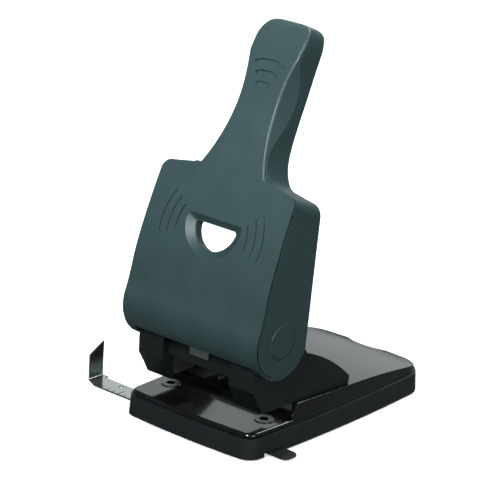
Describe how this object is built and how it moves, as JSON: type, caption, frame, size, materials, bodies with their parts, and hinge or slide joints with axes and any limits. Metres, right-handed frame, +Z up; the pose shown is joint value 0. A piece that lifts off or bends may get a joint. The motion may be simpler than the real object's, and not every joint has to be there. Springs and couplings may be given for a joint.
{
  "type": "heavy duty two-hole paper punch",
  "caption": "Desk paper punch: a tall windowed lever pivots between steel legs on a long base, drives round punches into dies; sliding paper guide and a pull-out chip drawer.",
  "frame": {"origin": "on the desk, at the middle of the whole punch's bounding box in plan", "axes": "+X to the right along the paper's edge, +Y from the paper side to the rear, +Z up"},
  "size_m": [0.1632, 0.1922, 0.2612],
  "materials": {
    "lever_plastic": "fine textured",
    "tub_plastic": "satin moulded",
    "plate_paint": "high gloss",
    "frame_paint": "satin",
    "cap_plastic": "satin moulded",
    "bright_steel": "ground",
    "zinc_steel": "bright zinc plated",
    "chromed_steel": "polished",
    "cast_zinc": "as cast",
    "spring_steel": "drawn wire",
    "screw_steel": "zinc plated",
    "foot_rubber": "matt",
    "lock_plastic": "satin moulded"
  },
  "bodies": {
    "root": {"base_tub": "tub_plastic", "rubber_feet": "foot_rubber", "base_plate": "plate_paint", "die_bush_left": "bright_steel", "die_bush_right": "bright_steel", "tub_screws": "screw_steel", "guide_channel": "tub_plastic", "lock_rivet": "screw_steel", "frame_right": "frame_paint", "frame_left": "frame_paint", "frame_bridge": "frame_paint", "frame_screws": "screw_steel", "punch_guide_left": "cast_zinc", "punch_guide_right": "cast_zinc", "pivot_shaft": "bright_steel", "shaft_clips": "spring_steel", "pivot_washers": "screw_steel", "return_spring_left": "spring_steel", "return_spring_right": "spring_steel"},
    "lever": {"lever_cover": "lever_plastic", "grip_back_cover": "lever_plastic", "grip_screws": "screw_steel", "lever_yoke": "zinc_steel", "drive_rod": "bright_steel", "pivot_cap_left": "cap_plastic", "pivot_cap_right": "cap_plastic"},
    "punch_left": {"punch_left": "bright_steel", "punch_head_left": "cast_zinc"},
    "punch_right": {"punch_right": "bright_steel", "punch_head_right": "cast_zinc"},
    "paper_guide": {"paper_guide": "chromed_steel"},
    "chip_drawer": {"chip_drawer": "tub_plastic", "drawer_feet": "foot_rubber"},
    "guide_lock": {"guide_lock_lever": "lock_plastic"}
  },
  "joints": [
    {"name": "lever_swing", "type": "hinge", "parent": "root", "child": "lever", "pos_m": [0.01295, -0.0709, 0.0766], "axis": [-1, 0, 0], "range_deg": [0, 51.5], "stiffness_Nm_per_rad": 0.3, "springref_deg": -51.57},
    {"name": "punch_left_slide", "type": "slide", "parent": "root", "child": "punch_left", "axis": [0, 0, -1], "range_m": [0, 0.01], "deforming": ["return_spring_left"]},
    {"name": "punch_right_slide", "type": "slide", "parent": "root", "child": "punch_right", "axis": [0, 0, -1], "range_m": [0, 0.01], "deforming": ["return_spring_right"]},
    {"name": "guide_slide", "type": "slide", "parent": "root", "child": "paper_guide", "axis": [-1, 0, 0], "range_m": [-0.03, 0.035]},
    {"name": "drawer_slide", "type": "slide", "parent": "root", "child": "chip_drawer", "axis": [0, 1, 0], "range_m": [0, 0.07]},
    {"name": "lock_turn", "type": "hinge", "parent": "root", "child": "guide_lock", "pos_m": [0.04295, -0.0784, 0.002], "axis": [0, 0, -1], "range_deg": [0, 9.5]}
  ],
  "couplings": [
    {"joint": "punch_left_slide", "follows": "lever_swing", "m_per_rad": 0.011116},
    {"joint": "punch_right_slide", "follows": "lever_swing", "m_per_rad": 0.011116}
  ]
}
